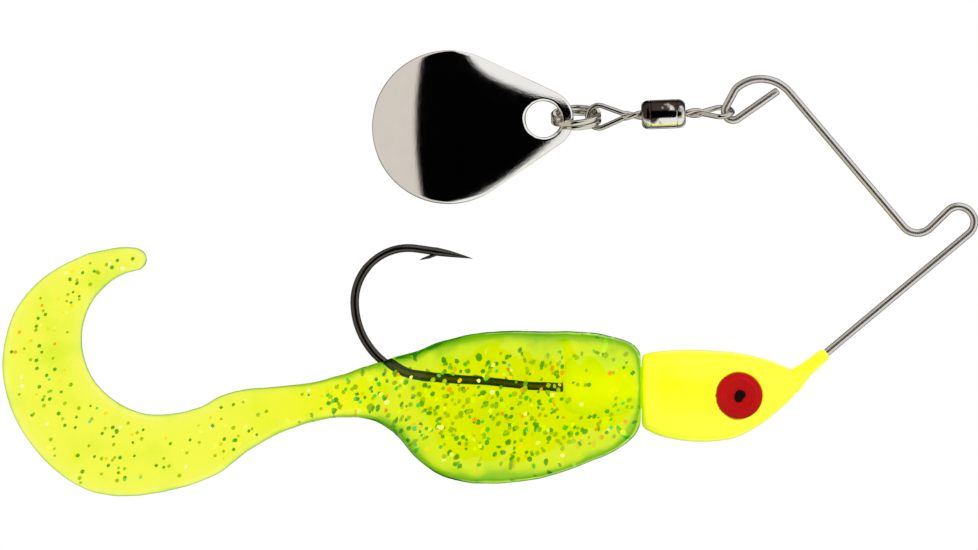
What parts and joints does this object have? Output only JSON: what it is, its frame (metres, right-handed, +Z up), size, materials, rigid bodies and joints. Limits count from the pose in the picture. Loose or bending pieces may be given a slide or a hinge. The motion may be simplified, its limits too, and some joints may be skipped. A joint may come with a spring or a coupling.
{
  "type": "spinnerbait",
  "caption": "Safety-pin spinnerbait: lead jig head and hook with a curly-tail soft body below, and a cupped teardrop blade spinning on a barrel swivel above.",
  "frame": {"origin": "centre of the line-tie bend, the small R-shaped bend of the wire that the fishing line is tied in", "axes": "+X towards the nose, along the lure; +Z up, with the blade above the hook; +Y to the lure's left side, the far side in the reference view"},
  "size_m": [0.0768, 0.0068, 0.0351],
  "materials": {
    "wire_steel": "drawn stainless spring wire",
    "head_paint": "chartreuse powder paint over lead, satin gloss",
    "eye_paint": "red enamel",
    "pupil_paint": "black enamel",
    "hook_nickel": "black nickel on carbon steel",
    "grub_plastic": "translucent chartreuse soft plastic with metallic flake",
    "blade_nickel": "nickel plate with fine grain",
    "swivel_nickel": "nickel-plated brass",
    "ring_nickel": "nickel-plated spring steel"
  },
  "bodies": {
    "root": {"wire_frame": "wire_steel", "lead_head": "head_paint", "eye_left": "eye_paint", "eye_right": "eye_paint", "pupil_left": "pupil_paint", "pupil_right": "pupil_paint", "hook": "hook_nickel", "grub_body": "grub_plastic"},
    "tail": {"grub_tail": "grub_plastic"},
    "front_eye": {"swivel_front_eye": "swivel_nickel"},
    "barrel": {"swivel_barrel": "swivel_nickel"},
    "rear_eye": {"swivel_rear_eye": "swivel_nickel"},
    "ring": {"split_ring": "ring_nickel"},
    "blade": {"blade": "blade_nickel"}
  },
  "joints": [
    {"name": "swivel_swing", "type": "hinge", "parent": "root", "child": "front_eye", "pos_m": [-0.01784, 0, 0.00869], "axis": [0, 1, 0], "range_deg": [-9, 35]},
    {"name": "barrel_spin", "type": "hinge", "parent": "front_eye", "child": "barrel", "pos_m": [-0.02153, 0, 0.00855], "axis": [-0.9993, 0, -0.0384], "continuous": true},
    {"name": "blade_spin", "type": "hinge", "parent": "barrel", "child": "rear_eye", "pos_m": [-0.02643, 0, 0.00836], "axis": [-0.9993, 0, -0.0384], "continuous": true},
    {"name": "ring_swing", "type": "hinge", "parent": "rear_eye", "child": "ring", "pos_m": [-0.02921, 0, 0.00825], "axis": [-0.0361, -0.342, 0.939], "range_deg": [-40, 40]},
    {"name": "blade_swing", "type": "hinge", "parent": "ring", "child": "blade", "pos_m": [-0.03189, 0, 0.00815], "axis": [0.0131, -0.9397, -0.3418], "range_deg": [-30, 30]},
    {"name": "tail_sway", "type": "hinge", "parent": "root", "child": "tail", "pos_m": [-0.04995, 0, -0.01365], "axis": [0, 0, 1], "range_deg": [-30, 30], "stiffness_Nm_per_rad": 0.0004}
  ]
}
